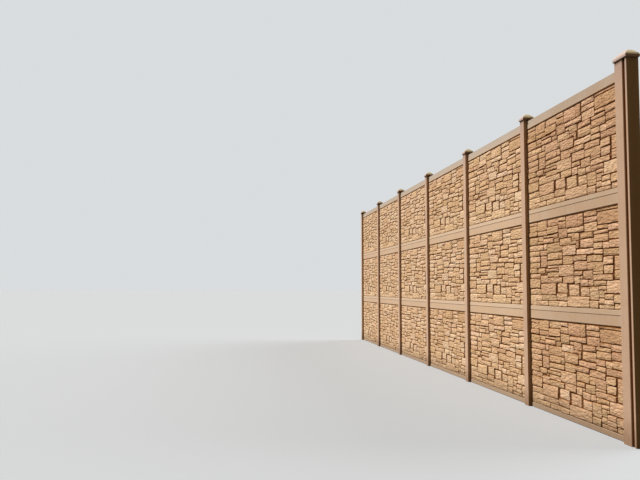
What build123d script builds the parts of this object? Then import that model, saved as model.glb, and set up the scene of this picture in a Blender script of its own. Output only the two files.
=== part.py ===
from build123d import *
from math import atan2, degrees
import os

os.makedirs("parts", exist_ok=True)

# A privacy fence of moulded stone-look panels, three panels high, between channelled posts.
# Millimetres. The fence runs along X and its road side faces -Y. The ground is Z = 0.
# The origin is the middle of one line post's foot, and posts are counted from the corner, at +X.

# The run of the fence
bays = 6
modules = 3                     # panels stacked in a bay
bay = 2438.4                    # from post centre to post centre
origin_post = 3                 # the post whose foot is at the origin

# Posts: an H section, which holds a panel in a channel on each side
post_width = 127.0              # along the fence
post_depth = 127.0              # through the fence
channel_width = 43.0
channel_depth = 38.0
post_edge_radius = 4.0
mouth_edge_radius = 2.0         # at the lips of a channel

# The corner post: a line post and one turned to face along Y, in one moulding
corner_post_width = 226.0
corner_front_lip = 36.0         # wall between its end face and the channels that face along Y
turned_mouth_bevel = 5.5        # those channels are wider at the mouth, to guide a panel in

# Moulded panels: a smooth top rail over a sunk stone field and a smooth bottom strip
panel_height = 1219.2
rail_height = 102.6
rail_drip = 4.0                 # the rail's underside rises this much, back to the bed
field_step = 14.0               # from the rail's face back to the bed of the stone field
strip_height = 53.3
strip_slope = 6.0               # rise of the strip's top back to the bed, to shed water
panel_edge_radius = 6.0         # along the top and the foot, where one panel stands on another
field_margin = 3.0              # from a post's face to the side of the stone field

# Caps: a skirt round the head of the post, under a hipped roof that is steepest at the eaves
cap_overhang = 12.0
skirt_height = 26.0
eave_run = 13.0                 # the steep band round the foot of the roof
eave_rise = 20.0
roof_rise = 31.0                # from the steep band to the flat top
flat_top = 60.0                 # across the flat top, through the fence
skirt_bevel = 3.0               # along the underside of the skirt
hip_bevel = 2.5                 # at the skirt's corners and up the hips
socket_depth = 20.0             # how far the post's head stands up in the cap
line_cap_lift = 25.0            # from the top rail to the underside of a line post's cap
corner_cap_lift = 65.0          # from the top rail to the underside of the corner post's cap

# Clearances
panel_fit = 0.3                 # on each face of a panel in its channel
panel_end_gap = 6.0             # from a panel's end to its channel's floor, for heat
cap_fit = 0.3                   # from the head of a post to its cap, all round

fence_height = modules * panel_height
panel_thickness = channel_width - 2 * panel_fit
clear_width = bay - post_width
panel_length = clear_width + 2 * (channel_depth - panel_end_gap)
line_post_height = fence_height + line_cap_lift + socket_depth
corner_post_height = fence_height + corner_cap_lift + socket_depth
post_x = [(origin_post - n) * bay for n in range(bays + 1)]
corner_centre_x = post_x[0] - post_width / 2 + corner_post_width / 2
end_face = corner_post_width / 2
turned_channel_x = end_face - corner_front_lip - channel_width / 2


def line_post(x):
    """A post of H section, with a channel on each side along the fence."""
    with BuildPart() as post:
        with BuildSketch(Plane((x, 0, 0))):
            Rectangle(post_width, post_depth)
            fillet(vertices(), post_edge_radius)
            with Locations(
                (post_width / 2 - channel_depth / 2, 0),
                (-post_width / 2 + channel_depth / 2, 0),
            ):
                Rectangle(channel_depth, channel_width, mode=Mode.SUBTRACT)
            mouths = (
                vertices().group_by(Axis.X)[0].sort_by(Axis.Y)[1:3]
                + vertices().group_by(Axis.X)[-1].sort_by(Axis.Y)[1:3]
            )
            fillet(mouths, mouth_edge_radius)
        extrude(amount=line_post_height)
    return post


def frustum(x, z, width, depth, run, rise):
    """A block on a foot of width by depth at height z, whose sides lean in by run over its rise."""
    with BuildPart() as block:
        with BuildSketch(Plane((x, 0, z))):
            Rectangle(width, depth)
        extrude(amount=rise, taper=degrees(atan2(run, rise)))
    return block.part


def cap(x, base_z, head_width, head_depth):
    """A cap for a post's head of the given size, with its underside at base_z."""
    width = head_width + 2 * cap_overhang
    depth = head_depth + 2 * cap_overhang
    hip_run = (min(width, depth) - flat_top) / 2 - eave_run
    skirt_top = base_z + skirt_height
    eaves_top = skirt_top + eave_rise
    with BuildPart() as hood:
        add(frustum(x, eaves_top, width - 2 * eave_run, depth - 2 * eave_run, hip_run, roof_rise))
        chamfer(edges() - edges().filter_by(Axis.X) - edges().filter_by(Axis.Y), hip_bevel)
        add(frustum(x, skirt_top, width, depth, eave_run, eave_rise))
        add(frustum(x, base_z, width, depth, 0, skirt_height))
        chamfer(edges().filter_by(Axis.Z), hip_bevel)
        chamfer(faces().sort_by(Axis.Z)[0].edges(), skirt_bevel)
        with BuildSketch(Plane((x, 0, base_z))):
            Rectangle(head_width + 2 * cap_fit, head_depth + 2 * cap_fit)
        extrude(amount=socket_depth, mode=Mode.SUBTRACT)
    return hood


def stone_panel(x, base_z):
    """A moulded panel, the same on both faces, whose ends slide down into the post channels."""
    face = panel_thickness / 2
    bed = face - field_step
    rail_foot = panel_height - rail_height
    with BuildPart() as panel:
        # The ends keep the full thickness of the rail and the strip, to fit the channels.
        with BuildSketch(Plane((x - panel_length / 2, 0, base_z + panel_height / 2),
                               x_dir=(0, 1, 0), z_dir=(1, 0, 0))):
            Rectangle(panel_thickness, panel_height)
            fillet(vertices(), panel_edge_radius)
        extrude(amount=panel_length)
        # The stone field is sunk between the posts only.
        with BuildSketch(Plane((x - clear_width / 2 + field_margin, 0, base_z),
                               x_dir=(0, 1, 0), z_dir=(1, 0, 0))):
            with BuildLine():
                Polyline(
                    (bed, strip_height + strip_slope),
                    (face, strip_height),
                    (face + field_step, strip_height),
                    (face + field_step, rail_foot),
                    (face, rail_foot),
                    (bed, rail_foot + rail_drip),
                    close=True,
                )
            make_face()
            mirror(about=Plane.YZ)
        extrude(amount=clear_width - 2 * field_margin, mode=Mode.SUBTRACT)
    return panel


# The corner post: one channel for the first bay, and one in the front and one in the back face
with BuildPart() as corner_post:
    with BuildSketch(Plane((corner_centre_x, 0, 0))):
        Rectangle(corner_post_width, post_depth)
        fillet(vertices(), post_edge_radius)
        with Locations((-end_face + channel_depth / 2, 0)):
            Rectangle(channel_depth, channel_width, mode=Mode.SUBTRACT)
        with Locations(
            (turned_channel_x, post_depth / 2 - channel_depth / 2),
            (turned_channel_x, -post_depth / 2 + channel_depth / 2),
        ):
            Rectangle(channel_width, channel_depth, mode=Mode.SUBTRACT)
        fillet(vertices().group_by(Axis.X)[0].sort_by(Axis.Y)[1:3], mouth_edge_radius)
        turned_mouths = (
            vertices().group_by(Axis.Y)[0].sort_by(Axis.X)[1:3]
            + vertices().group_by(Axis.Y)[-1].sort_by(Axis.X)[1:3]
        )
        chamfer(turned_mouths, turned_mouth_bevel)
    extrude(amount=corner_post_height)
corner_post.part.label = "corner_post"
export_step(corner_post.part, "parts/corner_post.step")

corner_post_cap = cap(
    corner_centre_x, fence_height + corner_cap_lift, corner_post_width, post_depth
)
corner_post_cap.part.label = "corner_post_cap"
export_step(corner_post_cap.part, "parts/corner_post_cap.step")

# Line posts and their caps, counted away from the corner
for n in range(1, bays + 1):
    post = line_post(post_x[n])
    post.part.label = f"line_post_{n}"
    export_step(post.part, f"parts/line_post_{n}.step")
    hood = cap(post_x[n], fence_height + line_cap_lift, post_width, post_depth)
    hood.part.label = f"post_cap_{n}"
    export_step(hood.part, f"parts/post_cap_{n}.step")

# Panels: each bay holds a stack, with the lowest panel on the ground
courses = ["bottom", "middle", "top"]
for n in range(1, bays + 1):
    bay_centre = (post_x[n - 1] + post_x[n]) / 2
    for level in range(modules):
        panel = stone_panel(bay_centre, level * panel_height)
        panel.part.label = f"panel_bay_{n}_{courses[level]}"
        export_step(panel.part, f"parts/{panel.part.label}.step")
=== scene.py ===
import math

import bpy
import numpy as np
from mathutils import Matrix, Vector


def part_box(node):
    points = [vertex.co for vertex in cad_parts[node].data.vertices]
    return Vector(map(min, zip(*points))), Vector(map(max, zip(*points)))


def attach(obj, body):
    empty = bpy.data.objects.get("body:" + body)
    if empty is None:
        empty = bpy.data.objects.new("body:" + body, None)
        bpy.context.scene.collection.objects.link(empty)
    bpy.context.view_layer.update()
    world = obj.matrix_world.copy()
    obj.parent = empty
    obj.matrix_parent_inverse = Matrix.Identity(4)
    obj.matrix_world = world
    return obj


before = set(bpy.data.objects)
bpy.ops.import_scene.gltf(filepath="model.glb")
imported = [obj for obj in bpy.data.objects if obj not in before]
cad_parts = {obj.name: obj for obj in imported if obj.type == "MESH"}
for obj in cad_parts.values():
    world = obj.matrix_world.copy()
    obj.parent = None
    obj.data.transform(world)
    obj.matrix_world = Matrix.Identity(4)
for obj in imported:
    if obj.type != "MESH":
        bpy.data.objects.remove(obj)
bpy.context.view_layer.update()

# A privacy fence of moulded stone-look panels between channelled posts with hipped caps.
# Metres, in the CAD frame: the fence runs along X, its road side faces -Y and the ground is Z = 0.
INCH = 0.0254
BAYS = 6
COURSES = ["bottom", "middle", "top"]

# The stones of the mould, laid out like a mason's drawing and the same on every panel.
# Inches: left edge, right edge, top and bottom, from the left post and from the ruler's zero,
# which lies RULER_DROP below the top of the panel.
RULER_DROP = 1.0 * INCH
STONES = [
    # Left third, under the rail and down to the long course at 15
    (0.0, 10.4, 3.7, 5.5), (0.0, 10.4, 5.5, 8.5), (0.0, 10.6, 8.5, 11.1), (0.0, 11.0, 11.1, 15.1),
    (10.4, 21.7, 3.7, 8.6), (10.6, 21.9, 8.6, 11.0), (11.0, 17.0, 11.1, 13.4),
    (11.0, 17.0, 13.4, 15.0), (17.0, 28.5, 11.0, 12.3), (17.0, 28.6, 12.3, 14.9),
    (21.7, 34.1, 3.7, 7.0), (21.9, 33.9, 7.0, 10.8), (28.5, 34.0, 10.8, 13.0),
    (29.4, 34.8, 13.0, 14.9),
    # Left third, 15 to 31
    (0.0, 17.2, 15.1, 18.1), (17.2, 21.2, 15.0, 17.8), (0.0, 12.9, 18.1, 20.7),
    (12.9, 21.2, 18.0, 20.7), (0.0, 12.9, 20.7, 23.5), (0.0, 12.9, 23.5, 26.2),
    (13.9, 21.3, 20.7, 26.4), (21.2, 35.3, 14.9, 19.5), (21.5, 34.1, 19.6, 23.0),
    (34.1, 37.6, 19.8, 23.0), (21.5, 37.6, 23.1, 25.4), (21.4, 33.7, 25.4, 26.9),
    (0.0, 10.1, 26.2, 29.0), (10.4, 18.8, 26.5, 29.1), (19.0, 33.7, 26.9, 28.7),
    (0.0, 13.2, 29.0, 31.5), (20.9, 33.6, 28.7, 31.1), (18.9, 20.9, 28.7, 29.9),
    (13.3, 21.4, 29.9, 33.7),
    # Left third, 31 down to the strip
    (0.0, 13.2, 31.5, 36.5), (21.6, 37.2, 31.1, 33.9), (13.4, 30.5, 33.8, 39.3),
    (0.0, 7.5, 36.5, 39.5), (7.5, 13.4, 36.5, 39.7), (0.0, 7.5, 39.5, 45.0),
    (7.5, 15.0, 39.6, 42.3), (15.0, 30.8, 39.4, 42.1), (7.6, 21.7, 42.3, 45.0),
    (21.9, 33.0, 42.1, 45.0), (33.0, 42.0, 42.0, 45.1), (31.0, 42.2, 38.5, 42.0),
    # Middle, down to 17
    (34.1, 42.0, 3.7, 5.6), (34.1, 42.0, 5.6, 9.1), (42.0, 53.7, 3.7, 9.2), (53.7, 58.4, 3.7, 9.3),
    (34.0, 43.2, 9.1, 13.4), (43.3, 59.0, 9.3, 11.9), (43.3, 47.0, 11.9, 13.5),
    (47.0, 54.2, 12.0, 15.3), (35.2, 47.0, 13.5, 16.8), (47.0, 51.8, 15.3, 17.0),
    (51.8, 54.1, 15.4, 19.1),
    # Middle, 17 to 31
    (35.4, 37.8, 16.9, 19.7), (37.8, 51.4, 16.9, 21.7), (37.7, 47.6, 21.7, 25.6),
    (47.6, 61.0, 22.0, 24.4), (33.8, 48.8, 25.6, 30.6), (49.0, 61.1, 24.5, 28.6),
    (47.6, 49.0, 24.4, 25.6), (49.0, 57.3, 28.6, 30.9), (57.3, 66.0, 28.7, 32.4),
    (54.5, 57.3, 30.9, 32.4),
    # Middle, 31 down to the strip
    (37.4, 48.6, 30.7, 34.1), (48.8, 54.4, 31.0, 34.4), (32.2, 42.2, 34.0, 38.4),
    (43.7, 53.2, 34.4, 39.8), (54.9, 61.9, 32.4, 35.6), (61.9, 66.4, 32.5, 35.5),
    (54.9, 63.0, 35.6, 39.8), (42.2, 63.0, 39.9, 45.2),
    # Right third, down to 20
    (59.2, 70.8, 3.7, 6.0), (59.2, 70.8, 6.0, 8.5), (59.4, 70.9, 8.5, 12.5),
    (70.9, 91.0, 3.7, 4.9), (70.9, 91.0, 4.9, 10.4), (71.0, 79.5, 10.4, 12.3),
    (79.5, 91.0, 10.5, 13.3), (55.6, 67.0, 12.4, 15.0), (67.0, 79.5, 12.4, 14.0),
    (55.6, 67.3, 15.1, 19.2), (67.3, 79.6, 14.0, 17.3), (79.6, 91.0, 13.4, 16.8),
    (67.4, 75.0, 17.4, 20.0), (75.0, 80.2, 17.4, 20.2), (80.2, 91.0, 16.9, 20.2),
    (51.6, 67.4, 19.3, 22.0),
    # Right third, 20 to 33
    (67.4, 75.0, 20.1, 22.5), (75.2, 91.0, 20.3, 23.3), (61.0, 74.9, 22.4, 25.3),
    (61.2, 66.2, 25.3, 28.6), (66.2, 75.0, 25.4, 29.3), (75.1, 82.9, 23.4, 26.9),
    (75.1, 82.9, 27.0, 30.5), (84.0, 91.0, 23.4, 29.0), (83.8, 91.0, 29.0, 32.8),
    (66.1, 75.0, 29.3, 30.7), (66.1, 82.9, 30.6, 33.0),
    # Right third, 33 down to the strip
    (66.5, 77.3, 33.1, 35.3), (70.9, 77.4, 35.3, 37.1), (77.4, 91.0, 33.0, 38.5),
    (63.1, 70.8, 35.5, 41.3), (71.0, 75.6, 37.1, 40.3), (75.6, 77.4, 37.1, 38.5),
    (75.6, 82.8, 38.6, 41.1), (82.9, 91.0, 38.6, 42.3), (71.0, 75.4, 40.3, 43.0),
    (75.4, 82.8, 41.1, 43.1), (63.1, 70.8, 41.3, 45.3), (70.9, 82.9, 43.1, 45.4),
    (83.0, 91.0, 42.4, 45.4),
]

# Sizes that the frame's boxes don't show
FIELD_STEP = 0.014              # from the rail's face back to the bed of the stone field
FIELD_MARGIN = 0.003            # from a post to the stones
RAIL_HEIGHT = 0.1026
STRIP_TOP = 0.0605              # up from the panel's foot to the lowest stones
POST_FACE = 0.0635              # from the fence's middle plane to a post's front or back face
CHANNEL_HALF = 0.0215           # half the width of a channel
MOUTH_HALF = 0.027              # half the width of a turned channel's mouth
TURNED_CHANNEL_IN = 0.0575      # from the corner post's end face to the middle of that channel
SKIRT_HEIGHT = 0.026            # of a cap's skirt

# How a stone's outline is cut
LEAST_GAP, MOST_GAP = 0.0014, 0.0058    # from an edge of the layout to the foot of the stone
SKEW = 0.0036                   # how far a corner is off its place in the layout
CORNER_IN, CORNER_POWER = 0.0036, 8     # how far a corner is drawn in, and how tightly
CHIP, CHIP_SIZE = 0.0013, 0.019         # small ripples of the outline
COURSE_BEND, COURSE_WAVES = 0.0034, (0.17, 0.11)    # up and down, and its hills across and down
JOINT_BEND, JOINT_WAVES = 0.0026, (0.13, 0.15)      # across, and its hills
BEND_CLEAR = 0.06               # over this far from the field's edges the bends fade out
RAIL_CLEAR = 0.10               # no bend above here, down from the top of the panel

# How a stone's face is split, in heights over the bed
FOOT_SINK = 0.001               # a stone's foot goes this far into the bed
SHOULDER_IN = 0.0016            # from the foot in to the shoulder
SHOULDER_LIFT = 0.74            # height of the shoulder, as a share of the face's height
BROW_IN = 0.0058                # from the foot in to the brow, where the face starts
BROW_SHARES = (0.5, 2.4)        # the least and most of that on a side
BROW_MOST = 0.3                 # a brow goes no further in than this share of the stone
LOW_FACE, HIGH_FACE = 0.0080, 0.0166
PLANE_TILT = 0.0042             # how far a split plane leans from the middle of a stone to its edge
PLANE_OFFSET = 0.0024           # how far a split plane may lie over the lowest one
HILL, HILL_SIZE = 0.0011, (0.047, 0.034)
KNOB, KNOB_SIZE = 0.0008, (0.019, 0.013)
LEAST_FACE, MOST_FACE = 0.0055, 0.0176
CREASE = 24.0                   # degrees between two faces, from which their shared edge is sharp

# Where the stones' patterns start
STONE_SEED = 20
TONE_SEED = 77
BAY_TONES = [-0.30, 0.14, 0.18, 0.36, 0.38, 0.40]   # how much paler each bay is, from the corner
TONE_SPREAD = 0.2               # how far a stone's tone strays from its place in the mould

# How far from the corner the fence is coloured darker, along the fence
DARK_TO, DARK_UP_TO = 1.2, 3.4          # all of the darkening up to here, and none from here on
PALE_FROM, PALE_TO = 2.8, 6.5           # the far posts are paler between these


def ripple(across, down, seed):
    """Smooth random hills from -1 to 1. Whole numbers of across and down have fixed random values,
    and between them the curve 3t^2 - 2t^3 of the remainder t joins the four nearest ones."""
    size = 128
    heights = np.random.default_rng(seed).uniform(-1, 1, (size, size))
    column = np.floor(across).astype(int)
    row = np.floor(down).astype(int)
    s = across - column
    t = down - row
    s = s * s * (3 - 2 * s)
    t = t * t * (3 - 2 * t)
    near = (heights[row % size, column % size] * (1 - s)
            + heights[row % size, (column + 1) % size] * s)
    far = (heights[(row + 1) % size, column % size] * (1 - s)
           + heights[(row + 1) % size, (column + 1) % size] * s)
    return near * (1 - t) + far * t


def side_lines(low, high, lines, low_brow, high_brow):
    """Where a stone's grid lines cross one of its sides, for all stones: foot, shoulder and brow at
    each end, and the rest evenly spaced from brow to brow."""
    low, high = low[:, None], high[:, None]
    even = np.linspace(0, 1, lines - 4)[None, :]
    first, last = low + low_brow[:, None], high - high_brow[:, None]
    return np.concatenate(
        [low, low + SHOULDER_IN, first + (last - first) * even, high - SHOULDER_IN, high], axis=1
    )


def split_stones(layout, columns, rows, seed):
    """Stones with a split face, as blocks on a grid of columns by rows points, all at once.

    Plan: the layout's rectangle less its share of the joints, each corner moved a little, with the
    whole field bent by gentle ripples and each outline by small ones, and the corners drawn in by
    (|u| |v|)^8.
    Height over the bed: the lowest of three random planes plus ripples, times 0 at the foot, the
    shoulder's share at the next line, and 1 from the brow inwards."""
    count = len(layout)
    draw = np.random.default_rng(seed)
    left, right, top, bottom = layout.T
    wide, high = right - left, bottom - top
    brows = BROW_IN * draw.uniform(*BROW_SHARES, (4, count))
    brows = np.minimum(brows, BROW_MOST * np.array([wide, wide, high, high]))
    across = side_lines(left, right, columns, brows[0], brows[1])[:, None, :]
    down = side_lines(top, bottom, rows, brows[2], brows[3])[:, :, None]
    across, down = np.broadcast_arrays(across, down)
    u = 2 * (across - left[:, None, None]) / wide[:, None, None] - 1
    v = 2 * (down - top[:, None, None]) / high[:, None, None] - 1

    planes = draw.uniform(-PLANE_TILT, PLANE_TILT, (3, 2, count, 1, 1))
    offsets = draw.uniform(0, PLANE_OFFSET, (3, count, 1, 1))
    face = draw.uniform(LOW_FACE, HIGH_FACE, (count, 1, 1))
    height = face + np.min(offsets + planes[:, 0] * u + planes[:, 1] * v, axis=0)
    height = height + HILL * ripple(across / HILL_SIZE[0], down / HILL_SIZE[1], seed + 1)
    height = height + KNOB * ripple(across / KNOB_SIZE[0], down / KNOB_SIZE[1], seed + 2)
    height = np.clip(height, LEAST_FACE, MOST_FACE)

    column, row = np.arange(columns), np.arange(rows)
    line = np.minimum(np.minimum(column, column[::-1])[None, :],
                      np.minimum(row, row[::-1])[:, None])
    lift = np.array([0.0, SHOULDER_LIFT, 1.0])[np.minimum(line, 2)]
    height = np.where(line == 0, -FOOT_SINK, height * lift)

    edge = (line < 3) * 1.0
    own = draw.uniform(0, 60, (count, 1, 1))
    drawn_in = CORNER_IN * (np.abs(u) * np.abs(v)) ** CORNER_POWER
    skew = SKEW * draw.uniform(-1, 1, (2, 4, count, 1, 1))
    weights = np.stack([(1 - u) * (1 - v), (1 + u) * (1 - v),
                        (1 - u) * (1 + v), (1 + u) * (1 + v)]) / 4
    skew_across, skew_down = np.sum(skew * weights, axis=1)
    moved_across = across + skew_across - np.sign(u) * drawn_in
    moved_down = down + skew_down - np.sign(v) * drawn_in
    chipped = ripple(across / CHIP_SIZE + own, down / CHIP_SIZE, seed + 3)
    moved_across = moved_across + edge * CHIP * chipped
    chipped = ripple(across / CHIP_SIZE, down / CHIP_SIZE + own, seed + 4)
    moved_down = moved_down + edge * CHIP * chipped
    clear = np.minimum(down - RAIL_CLEAR, COURSE_HEIGHT - STRIP_TOP - down)
    bend = ripple(across / COURSE_WAVES[0], down / COURSE_WAVES[1], STONE_SEED)
    moved_down = moved_down + np.clip(clear / BEND_CLEAR, 0, 1) * COURSE_BEND * bend
    clear = np.minimum(across, FIELD_WIDTH - across)
    bend = ripple(across / JOINT_WAVES[0], down / JOINT_WAVES[1], STONE_SEED + 1)
    moved_across = moved_across + np.clip(clear / BEND_CLEAR, 0, 1) * JOINT_BEND * bend
    return np.stack([moved_across, -height, -moved_down], axis=-1)


def block_faces(columns, rows):
    """Corners of the faces of one block: a quad for each cell of the grid, anticlockwise from the
    front, and one face over the back that follows the outline the other way round."""
    number = np.arange(columns * rows).reshape(rows, columns)
    quads = np.stack([number[:-1, :-1], number[1:, :-1], number[1:, 1:], number[:-1, 1:]], axis=-1)
    outline = np.concatenate(
        [number[0, :-1], number[:-1, -1], number[-1, :0:-1], number[:0:-1, 0]]
    )
    return quads.reshape(-1, 4), outline


def stone_field():
    """Points, corner numbers, corners per face and the stone of each point, for one side of a
    panel. Stones are worked out in groups with as many grid lines as their size needs."""
    layout = np.array(STONES) * INCH
    layout[:, 2:] += RULER_DROP
    at_left, at_right = layout[:, 0] < INCH / 2, layout[:, 1] > FIELD_WIDTH - INCH / 2
    shares = np.random.default_rng(STONE_SEED).uniform(0, 1, (4, len(layout)))
    gaps = LEAST_GAP + (MOST_GAP - LEAST_GAP) * shares
    left_sides = layout[:, 0] + gaps[0] ** 2 / MOST_GAP
    right_sides = layout[:, 1] - gaps[1] ** 2 / MOST_GAP
    layout[:, 0] = np.where(at_left, FIELD_MARGIN, left_sides)
    layout[:, 1] = np.where(at_right, FIELD_WIDTH - FIELD_MARGIN, right_sides)
    layout[:, 2] += gaps[2]
    layout[:, 3] = np.minimum(layout[:, 3] - gaps[3], COURSE_HEIGHT - STRIP_TOP)
    wide, high = layout[:, 1] - layout[:, 0], layout[:, 3] - layout[:, 2]
    columns = np.where(wide < 5 * INCH, 8, np.where(wide < 10 * INCH, 10, 13))
    rows = np.where(high < 1.9 * INCH, 7, np.where(high < 4 * INCH, 8, 10))
    points, corners, sizes, stone_of = [], [], [], []
    start = 0
    for columns_here, rows_here in sorted(set(zip(columns.tolist(), rows.tolist()))):
        chosen = np.flatnonzero((columns == columns_here) & (rows == rows_here))
        seed = STONE_SEED + 10 * columns_here + rows_here
        blocks = split_stones(layout[chosen], columns_here, rows_here, seed)
        each = columns_here * rows_here
        firsts = start + each * np.arange(len(chosen))
        quads, outline = block_faces(columns_here, rows_here)
        points.append(blocks.reshape(-1, 3))
        stone_of.append(np.repeat(chosen, each))
        corners += [(quads[None] + firsts[:, None, None]).ravel(),
                    (outline[None] + firsts[:, None]).ravel()]
        sizes += [np.full(len(quads) * len(chosen), 4), np.full(len(chosen), len(outline))]
        start += each * len(chosen)
    return (np.concatenate(points), np.concatenate(corners), np.concatenate(sizes),
            np.concatenate(stone_of))


def both_faces(points, corners, sizes, stone_of):
    """The same field on the front and, turned half round the panel's upright axis, on the back."""
    points = points + np.array([-FIELD_WIDTH / 2, -BED_OUT, 0])
    turned = points * np.array([-1, -1, 1])
    return (np.concatenate([points, turned]), np.concatenate([corners, corners + len(points)]),
            np.concatenate([sizes, sizes]), np.concatenate([stone_of, stone_of + len(STONES)]))


def mesh_piece(name, points, corners, sizes):
    """A mesh object from arrays: its points, the corner numbers of all faces in turn, and how many
    corners each face has."""
    mesh = bpy.data.meshes.new(name)
    mesh.vertices.add(len(points))
    mesh.vertices.foreach_set("co", points.astype(np.float32).ravel())
    mesh.loops.add(len(corners))
    mesh.loops.foreach_set("vertex_index", corners.astype(np.int32))
    mesh.polygons.add(len(sizes))
    mesh.polygons.foreach_set("loop_start", (np.cumsum(sizes) - sizes).astype(np.int32))
    mesh.polygons.foreach_set("use_smooth", sizes == 4)
    mesh.update(calc_edges=True)
    mesh.validate()
    mesh.set_sharp_from_angle(angle=math.radians(CREASE))
    piece = bpy.data.objects.new(name, mesh)
    bpy.context.scene.collection.objects.link(piece)
    return piece


class Value:
    """One output of a node. Sums written with values become Math nodes."""

    def __init__(self, finish, socket):
        self.finish = finish
        self.socket = socket

    def math(self, operation, *numbers):
        sockets = dict(enumerate(numbers))
        return self.finish.node("ShaderNodeMath", {"operation": operation}, sockets)

    def __add__(self, other):
        return self.math("ADD", self, other)

    def __sub__(self, other):
        return self.math("SUBTRACT", self, other)

    def __rsub__(self, other):
        return self.math("SUBTRACT", other, self)

    def __mul__(self, other):
        return self.math("MULTIPLY", self, other)

    def __mod__(self, other):
        return self.math("FLOORED_MODULO", self, other)

    def __abs__(self):
        return self.math("ABSOLUTE", self)

    __radd__ = __add__
    __rmul__ = __mul__


class Finish:
    """A material's or the world's nodes."""

    def __init__(self, owner):
        owner.use_nodes = True
        self.owner = owner
        self.tree = owner.node_tree
        self.tree.nodes.clear()

    def node(self, kind, settings=None, sockets=None, output=0):
        """A node of this kind: its settings first, then the numbers or links of its sockets."""
        node = self.tree.nodes.new(kind)
        for name, setting in (settings or {}).items():
            if name == "stops":
                ramp = node.color_ramp
                while len(ramp.elements) < len(setting):
                    ramp.elements.new(1)
                for element, (place, colour) in zip(ramp.elements, setting):
                    element.position = place
                    element.color = colour
            else:
                setattr(node, name, setting)
        for name, given in (sockets or {}).items():
            if isinstance(given, Value):
                self.tree.links.new(given.socket, node.inputs[name])
            else:
                node.inputs[name].default_value = given
        return Value(self, node.outputs[output]) if node.outputs else node

    def grain(self, place, size, detail=2.0, roughness=0.5):
        """Random patches of this size in metres, from 0 to 1."""
        sockets = {"Vector": place, "Scale": 1 / size, "Detail": detail, "Roughness": roughness}
        return self.node("ShaderNodeTexNoise", None, sockets)

    def stretched(self, place, scale):
        """The same place on scaled axes, which draws a pattern out along the small ones."""
        return self.node("ShaderNodeMapping", None, {"Vector": place, "Scale": scale})

    def step(self, value, low, high):
        """0 up to low, 1 from high, and a smooth rise between them."""
        sockets = {"Value": value, "From Min": low, "From Max": high}
        return self.node("ShaderNodeMapRange", {"interpolation_type": "SMOOTHSTEP"}, sockets)

    def mix(self, share, first, second):
        """The first colour, with a share of the second mixed in."""
        settings = {"data_type": "RGBA", "blend_type": "MIX", "clamp_factor": True}
        return self.node("ShaderNodeMix", settings, {0: share, 6: first, 7: second}, output=2)

    def bump(self, height, depth, normal=None):
        """Relief of this depth in metres where height goes from 0 to 1."""
        sockets = {"Height": height, "Distance": depth, "Strength": 1.0}
        if normal is not None:
            sockets["Normal"] = normal
        return self.node("ShaderNodeBump", None, sockets)

    def close(self, colour, roughness, normal, specular):
        """The plastic's shader: colour, roughness and relief vary, and its gloss is one number."""
        sockets = {"Base Color": colour, "Roughness": roughness, "Normal": normal,
                   "Specular IOR Level": specular}
        shader = self.node("ShaderNodeBsdfPrincipled", None, sockets)
        self.node("ShaderNodeOutputMaterial", None, {"Surface": shader})
        return self.owner


def seen(red, green, blue):
    """A colour from 0-255 as it is seen on a screen, in the linear values that shaders use."""
    shares = np.array([red, green, blue]) / 255
    linear = np.where(shares <= 0.04045, shares / 12.92, ((shares + 0.055) / 1.055) ** 2.4)
    return (*linear.tolist(), 1.0)


def plastic(name):
    """A finish with the place on the object, and its three coordinates."""
    finish = Finish(bpy.data.materials.new(name))
    place = finish.node("ShaderNodeTexCoord", None, None, output="Object")
    split = finish.node("ShaderNodeSeparateXYZ", None, {"Vector": place})
    sides = split.socket.node.outputs
    return finish, place, *(Value(finish, sides[axis]) for axis in "XYZ")


def pebbled(finish, place, depth):
    """The fine pebble of a sand-blasted mould over soft waves of shrinkage."""
    fine = finish.grain(place, 0.0022, 2.0, 0.6)
    waves = finish.grain(place, 0.09, 1.0, 0.4)
    soft = finish.bump(waves, 0.0016)
    return finish.bump(fine, depth, soft)


def splashed(finish, place, height):
    """How much soil the rain has splashed up: 1 at the ground, and none from about 0.3 m up."""
    splash = finish.grain(place, 0.05, 5.0, 0.65) * 0.42 + (0.30 - height) * 1.9
    return finish.step(splash, 0.20, 0.75)


def weathered(finish, place, height, colour, dust, soil, streak_share):
    """Colour with cloudy dust, rain streaks that run down it, and soil splashed up at its foot."""
    clouds = finish.step(finish.grain(place, 0.33, 4.0, 0.6), 0.38, 0.70)
    colour = finish.mix(clouds * 0.20, colour, dust)
    run = finish.stretched(place, (42.0, 42.0, 1.6))
    streaks = finish.step(finish.grain(run, 1.0, 4.0, 0.62), 0.52, 0.74)
    colour = finish.mix(streaks * streak_share, colour, soil)
    speckle = finish.step(finish.grain(place, 0.0035, 1.0, 0.5), 0.60, 0.74)
    colour = finish.mix(speckle * 0.16, colour, soil)
    return finish.mix(splashed(finish, place, height) * 0.55, colour, soil)


def facing(finish, axis):
    """How far the surface faces along this axis of the frame, from -1 to 1."""
    normal = finish.node("ShaderNodeTexCoord", None, None, output="Normal")
    return finish.node("ShaderNodeSeparateXYZ", None, {"Vector": normal}, output=axis)


def shaded_side(finish):
    """1 on the sides that face towards +X, away from the key lamp, and 0 elsewhere. It masks the
    shade painted on those sides.
    """
    return finish.step(facing(finish, "X"), 0.6, 0.95)


def near_corner(finish, x):
    """1 at the corner post and the near end of the bay next to it, which are coloured darker,
    and 0 further on."""
    return finish.step(x, CORNER_X - DARK_UP_TO, CORNER_X - DARK_TO)


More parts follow.
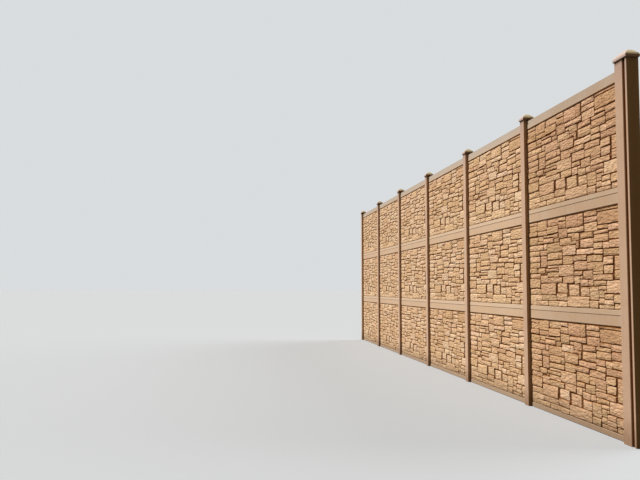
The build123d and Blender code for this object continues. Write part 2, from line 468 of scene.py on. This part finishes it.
def rail_plastic():
    """Moulded panels: tan rails and strips, and a dark bed behind the stones."""
    finish, place, x, y, z = plastic("rail_plastic")
    tan = finish.mix(finish.grain(place, 0.8, 2.0), seen(220, 186, 152), seen(209, 175, 141))
    course = z % COURSE_HEIGHT
    strip = 1 - finish.step(course, STRIP_TOP - 0.0155, STRIP_TOP - 0.0035)
    tan = finish.mix(strip * 0.35, tan, seen(238, 212, 182))
    paled = finish.step(z, BLEACHED_FROM, BLEACHED_FROM + 0.12)
    tan = finish.mix(paled * 0.7, tan, seen(187, 177, 165))
    tan = finish.mix(near_corner(finish, x) * 0.6, tan, seen(172, 142, 114))
    tan = weathered(finish, place, z, tan, seen(206, 190, 172), seen(120, 92, 66), 0.16)
    from_seam = course.math("PINGPONG", course, COURSE_HEIGHT / 2)
    seam = 1 - finish.step(from_seam, 0.0015, 0.0075)
    tan = finish.mix(seam * 0.7, tan, seen(96, 66, 44))
    over_stones = finish.step(course, RAIL_FOOT - 0.016, RAIL_FOOT - 0.010)
    sunk = 1 - finish.step(abs(y), BED_OUT + 0.001, BED_OUT + 0.009)
    sunk = sunk * (1 - over_stones)
    lumps = finish.grain(place, 0.02, 4.0, 0.6)
    bed = finish.mix(finish.step(lumps, 0.3, 0.7), seen(84, 46, 12), seen(134, 84, 40))
    colour = finish.mix(sunk, tan, bed)
    roughness = 0.62 + 0.16 * finish.grain(place, 0.12, 3.0) + sunk * 0.1
    rough_bed = finish.bump(lumps * sunk, 0.012, pebbled(finish, place, 0.0005))
    return finish.close(colour, roughness, rough_bed, 0.18)


def stone_plastic():
    """Moulded stones: each has its own tone, mottled and stained, over dark joints, with shade
    painted on their sides.
    """
    finish, place, x, y, z = plastic("stone_plastic")
    tone = finish.node("ShaderNodeAttribute", {"attribute_name": "tone"}, None, output="Fac")
    warmth = finish.node("ShaderNodeAttribute", {"attribute_name": "warmth"}, None, output="Fac")
    tones = [(0.0, seen(178, 134, 94)), (0.3, seen(204, 160, 121)), (0.6, seen(226, 183, 145)),
             (0.85, seen(243, 205, 171)), (1.0, seen(250, 219, 190))]
    warm = [(0.0, seen(218, 170, 140)), (0.45, seen(222, 176, 138)), (0.8, seen(222, 180, 134)),
            (1.0, seen(210, 176, 134))]
    drift = finish.grain(place, 0.16, 3.0, 0.6) * 0.7 + finish.grain(place, 0.7, 1.0) * 0.9 - 0.8
    colour = finish.mix(
        0.42,
        finish.node("ShaderNodeValToRGB", {"stops": tones}, {"Fac": tone + drift}),
        finish.node("ShaderNodeValToRGB", {"stops": warm}, {"Fac": warmth + drift * 0.6}),
    )
    upright = finish.stretched(place, (1.0, 1.0, 1.8))
    stain = finish.step(finish.grain(upright, 0.06, 5.0, 0.66), 0.48, 0.68)
    colour = finish.mix(stain * 0.42, colour, seen(150, 110, 72))
    bleach = finish.step(finish.grain(place, 0.034, 4.0, 0.6), 0.54, 0.74)
    colour = finish.mix(bleach * 0.26, colour, seen(234, 206, 170))
    grit = finish.step(finish.grain(place, 0.006, 3.0, 0.7), 0.52, 0.70)
    colour = finish.mix(grit * 0.22, colour, seen(136, 99, 66))
    colour = finish.mix((1 - near_corner(finish, x)) * 0.16, colour, seen(254, 216, 156))
    low = 1 - finish.step(abs(y), BED_OUT + 0.0005, BED_OUT + 0.0065)
    colour = finish.mix(low, colour, seen(110, 60, 6))
    # Painted shade: the steep sides of the stones, whichever way they face, darkened to a warm
    # brown.
    painted_side_shade = 1 - finish.step(abs(facing(finish, "Y")), 0.35, 0.88)
    colour = finish.mix(painted_side_shade * 0.9, colour, seen(158, 96, 16))
    course = z % COURSE_HEIGHT
    paler = ((1 - finish.step(course, 0.12, 0.24)) * 0.14
             + (1 - finish.step(course, 0.1, 1.0)) * 0.16)
    colour = finish.mix(paler, colour, seen(242, 208, 166))
    colour = finish.mix(splashed(finish, place, z) * 0.5, colour, seen(116, 88, 62))
    layers = finish.grain(finish.stretched(place, (1.0, 1.0, 3.4)), 0.075, 3.0, 0.55)
    ledges = finish.bump(finish.step(layers, 0.42, 0.56) * 0.5 + layers, 0.0075)
    chipped = finish.grain(finish.stretched(place, (1.0, 1.0, 1.6)), 0.016, 3.0, 0.6)
    chips = finish.bump(chipped, 0.0042, ledges)
    sand = finish.bump(finish.grain(place, 0.0026, 2.0, 0.6), 0.0008, chips)
    roughness = 0.74 + 0.16 * finish.grain(place, 0.03, 3.0)
    return finish.close(colour, roughness, sand, 0.08)


def post_plastic(name, cap_foot):
    """Posts: smooth tan plastic with a pinkish cast, greyer under the cap whose underside is at
    cap_foot, with the cap's shadow painted close under it and streaks that run down from it. Shade
    is also painted on the +X sides and in the channels."""
    finish, place, x, y, z = plastic(name)
    tan = finish.mix(finish.grain(place, 0.6, 2.0), seen(212, 175, 148), seen(203, 167, 140))
    tan = finish.mix(near_corner(finish, x) * 0.4, tan, seen(172, 138, 106))
    # Paler towards the far posts.
    paled = finish.step(CORNER_X - x, PALE_FROM, PALE_TO)
    tan = finish.mix(paled * 0.28, tan, seen(232, 200, 172))
    colour = weathered(finish, place, z, tan, seen(208, 182, 158), seen(112, 78, 50), 0.07)
    under_cap = finish.step(z, cap_foot - 0.38, cap_foot - 0.05)
    colour = finish.mix(under_cap * 0.35, colour, seen(170, 146, 142))
    runs = finish.grain(finish.stretched(place, (60.0, 60.0, 1.1)), 1.0, 3.0)
    drips = finish.step(z, cap_foot - 0.55, cap_foot) * runs
    colour = finish.mix(finish.step(drips, 0.34, 0.80) * 0.22, colour, seen(104, 78, 58))
    # Painted shade: inside the mouth of the corner post's turned channel, darkened to a red brown.
    turned = 1 - finish.step(abs(x - TURNED_CHANNEL_X), MOUTH_HALF - 0.0008, MOUTH_HALF + 0.0002)
    painted_channel_shade = turned * (1 - finish.step(abs(y), POST_FACE - 0.0095, POST_FACE - 0.0003))
    colour = finish.mix(painted_channel_shade * 0.7, colour, seen(150, 88, 54))
    # Painted shade: darker in the channels of the posts' sides and just beside them.
    painted_deep_shade = 1 - finish.step(abs(y), CHANNEL_HALF + 0.0005, CHANNEL_HALF + 0.0185)
    colour = finish.mix(painted_deep_shade * 0.35, colour, seen(126, 78, 48))
    # Painted shade: the +X sides, away from the key lamp, darkened and tinted olive, most at the
    # corner post; near the top of the line posts they are painted lighter again.
    shaded_faces = shaded_side(finish)
    dark_end = near_corner(finish, x)
    colour = finish.mix(shaded_faces * (0.36 + 0.5 * dark_end), colour, seen(140, 106, 58))
    colour = finish.mix(shaded_faces * under_cap * 0.4 * (1 - dark_end), colour, seen(212, 166, 116))
    # Painted shadow: a ragged dark band all round the post close under the cap, for the cap's
    # shadow.
    ragged = z + 0.012 * finish.grain(place, 0.02, 3.0)
    painted_cap_shadow = finish.step(ragged, cap_foot - 0.042, cap_foot - 0.002)
    colour = finish.mix(painted_cap_shadow * 0.7, colour, seen(92, 70, 46))
    roughness = 0.62 + 0.16 * finish.grain(place, 0.10, 3.0)
    return finish.close(colour, roughness, pebbled(finish, place, 0.00045), 0.16)


def cap_plastic(name, cap_foot):
    """Caps: the posts' plastic, with olive growth and dust lying on the roofs, painted shade on the
    +X side of the skirt, and a dark band round the foot of the skirt, which is at cap_foot."""
    finish, place, *_, z = plastic(name)
    tan = finish.mix(finish.grain(place, 0.1, 3.0), seen(193, 170, 160), seen(184, 158, 147))
    colour = weathered(finish, place, z, tan, seen(208, 192, 172), seen(120, 92, 66), 0.14)
    growth = finish.grain(place, 0.018, 5.0, 0.7)
    lying = finish.step(facing(finish, "Z"), 0.15, 0.75) * finish.step(growth, 0.30, 0.55)
    olive = lying * finish.step(facing(finish, "X"), -0.1, 0.6)
    colour = finish.mix(olive * 0.9, colour, seen(214, 196, 142))
    skirt_top = cap_foot + SKIRT_HEIGHT
    skirt = 1 - finish.step(z, skirt_top - 0.004, skirt_top + 0.010)
    # Painted shade: the +X side of the skirt, away from the key lamp, darkened.
    colour = finish.mix(shaded_side(finish) * skirt * 0.8, colour, seen(138, 100, 58))
    # A ragged dark band round the foot of the skirt.
    ragged = z + 0.008 * finish.grain(place, 0.02, 3.0)
    dark_skirt_band = 1 - finish.step(ragged, cap_foot + 0.004, cap_foot + 0.016)
    colour = finish.mix(dark_skirt_band * 0.5, colour, seen(90, 62, 40))
    roughness = 0.62 + lying * 0.2
    return finish.close(colour, roughness, pebbled(finish, place, 0.0005), 0.16)


# The panels' sizes, from the frame
bay_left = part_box("line_post_1")[1].x
bay_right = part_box("corner_post")[0].x
panel_low, panel_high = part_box("panel_bay_1_top")
FIELD_WIDTH = bay_right - bay_left
BED_OUT = panel_high.y - FIELD_STEP
COURSE_HEIGHT = panel_high.z - panel_low.z
RAIL_FOOT = COURSE_HEIGHT - RAIL_HEIGHT
BLEACHED_FROM = panel_high.z - 0.15
CORNER_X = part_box("corner_post")[1].x
TURNED_CHANNEL_X = CORNER_X - TURNED_CHANNEL_IN

# Finishes of the CAD nodes. The corner post's cap sits higher than the others.
line_cap_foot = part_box("post_cap_1")[0].z
corner_cap_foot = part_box("corner_post_cap")[0].z
finishes = {
    "panel": rail_plastic(),
    "line_post": post_plastic("line_post_plastic", line_cap_foot),
    "post_cap": cap_plastic("line_cap_plastic", line_cap_foot),
    "corner_post": post_plastic("corner_post_plastic", corner_cap_foot),
    "corner_post_cap": cap_plastic("corner_cap_plastic", corner_cap_foot),
}
for name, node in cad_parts.items():
    kind = max((kind for kind in finishes if name.startswith(kind)), key=len)
    for material_slot in node.material_slots:
        material_slot.material = finishes[kind]

# Stones on both faces of every panel
stone = stone_plastic()
points, corners, sizes, stone_of = both_faces(*stone_field())
tones = np.random.default_rng(TONE_SEED)
mould_tone = tones.uniform(0.1, 0.9, 2 * len(STONES))
for bay in range(1, BAYS + 1):
    for course in COURSES:
        low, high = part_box(f"panel_bay_{bay}_{course}")
        place = np.array([(low.x + high.x) / 2, 0, high.z])
        piece = mesh_piece(f"stones_bay_{bay}_{course}", points + place, corners, sizes)
        strayed = tones.uniform(-TONE_SPREAD, TONE_SPREAD, len(mould_tone))
        own_tone = np.clip(mould_tone + BAY_TONES[bay - 1] + strayed, 0, 1)
        own_warmth = tones.uniform(0, 1, len(mould_tone))
        for attribute, per_stone in (("tone", own_tone), ("warmth", own_warmth)):
            values = piece.data.attributes.new(attribute, "FLOAT", "POINT")
            values.data.foreach_set("value", per_stone[stone_of].astype(np.float32))
        piece.data.materials.append(stone)
        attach(piece, "root")


def shown_as_background(finish):
    """1 where the camera sees it, straight, in a shine or through glass, and 0 where it lights."""
    rays = ["Is Camera Ray", "Is Glossy Ray", "Is Transmission Ray"]
    straight, shine, glass = [
        finish.node("ShaderNodeLightPath", None, None, output=ray) for ray in rays
    ]
    return straight + shine + glass


# Floor: pale where the camera sees it, dimmer in the light that it throws back at the fence
FLOOR_REACH, FLOOR_DROP = 400.0, 0.001
floor_mesh = bpy.data.meshes.new("floor")
floor_mesh.from_pydata(
    [(-FLOOR_REACH, -FLOOR_REACH, -FLOOR_DROP), (FLOOR_REACH, -FLOOR_REACH, -FLOOR_DROP),
     (FLOOR_REACH, FLOOR_REACH, -FLOOR_DROP), (-FLOOR_REACH, FLOOR_REACH, -FLOOR_DROP)],
    [], [(0, 1, 2, 3)],
)
floor = bpy.data.objects.new("floor", floor_mesh)
bpy.context.scene.collection.objects.link(floor)
ground = Finish(bpy.data.materials.new("pale_floor"))
pale = ground.mix(shown_as_background(ground), (0.088, 0.07, 0.046, 1), (0.418, 0.430, 0.437, 1))
matte = ground.node("ShaderNodeBsdfDiffuse", None, {"Color": pale})
ground.node("ShaderNodeOutputMaterial", None, {"Surface": matte})
floor_mesh.materials.append(ground.owner)

# World: pale behind the fence, and a low even fill in its light
sky = Finish(bpy.data.worlds.new("studio"))
backdrop = sky.mix(shown_as_background(sky), (0.130, 0.110, 0.080, 1), (0.70, 0.72, 0.735, 1))
light = sky.node("ShaderNodeBackground", None, {"Color": backdrop, "Strength": 1.0})
sky.node("ShaderNodeOutputWorld", None, {"Surface": light})
bpy.context.scene.world = sky.owner


def soft_sun(name, towards, strength, spread):
    """A far lamp whose light comes from the direction `towards`, with soft-edged shadows."""
    lamp = bpy.data.lights.new(name, "SUN")
    lamp.energy = strength
    lamp.angle = math.radians(spread)
    lamp_object = bpy.data.objects.new(name, lamp)
    length = math.sqrt(sum(part * part for part in towards))
    tilt = math.acos(towards[2] / length)
    lamp_object.rotation_euler = (0, tilt, math.atan2(towards[1], towards[0]))
    bpy.context.scene.collection.objects.link(lamp_object)
    return lamp_object


soft_sun("key", towards=(-0.369, -0.527, 0.766), strength=5.1, spread=5)
soft_sun("back_fill", towards=(-0.25, 0.87, 0.5), strength=2.1, spread=60)

# Camera: at the photograph's viewing angle
EYE = (14.0933, -3.8124, 1.4909)
TURN = 6.722                    # degrees from -X towards the fence
PITCH = 3.732                   # degrees up from level
LENS, FILM_WIDTH = 41.67, 36.0  # millimetres
eye = bpy.data.cameras.new("eye")
eye.lens = LENS
eye.sensor_width = FILM_WIDTH
eye.clip_end = 1000.0
camera = bpy.data.objects.new("eye", eye)
camera.location = EYE
camera.rotation_euler = (math.radians(90 + PITCH), 0, math.radians(90 - TURN))
bpy.context.scene.collection.objects.link(camera)
bpy.context.scene.camera = camera
bpy.context.scene.view_settings.view_transform = "Standard"
